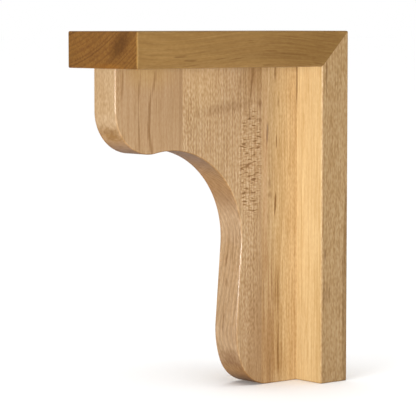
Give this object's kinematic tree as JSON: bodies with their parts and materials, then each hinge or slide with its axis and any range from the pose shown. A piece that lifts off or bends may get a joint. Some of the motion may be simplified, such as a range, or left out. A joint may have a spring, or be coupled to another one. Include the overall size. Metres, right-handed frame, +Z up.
{
  "type": "corbel bracket",
  "caption": "Solid wood corbel: a mitred top plate and back plate braced by a shaped body with a rounded nose, a deep cove and a rounded foot.",
  "frame": {"origin": "centre of the back face that lies on the wall", "axes": "+Y into the wall, so the corbel reaches out along -Y; +Z up; +X across the width"},
  "size_m": [0.077, 0.194, 0.254],
  "materials": {
    "top_plate_maple": "sanded maple under a clear satin coat, the darkest board, grain running out from the wall",
    "back_plate_maple": "sanded maple under a clear satin coat, the most golden board, grain upright",
    "front_board_maple": "sanded maple under a clear satin coat, pinkish tan, plain-sawn, grain upright",
    "middle_board_maple": "sanded maple under a clear satin coat, pale tan with ray flecks, grain upright",
    "rear_board_maple": "sanded maple under a clear satin coat, honey-coloured with brown streaks, grain upright"
  },
  "bodies": {
    "root": {"top_plate": "top_plate_maple", "back_plate": "back_plate_maple", "front_board": "front_board_maple", "middle_board": "middle_board_maple", "rear_board": "rear_board_maple"}
  },
  "joints": []
}
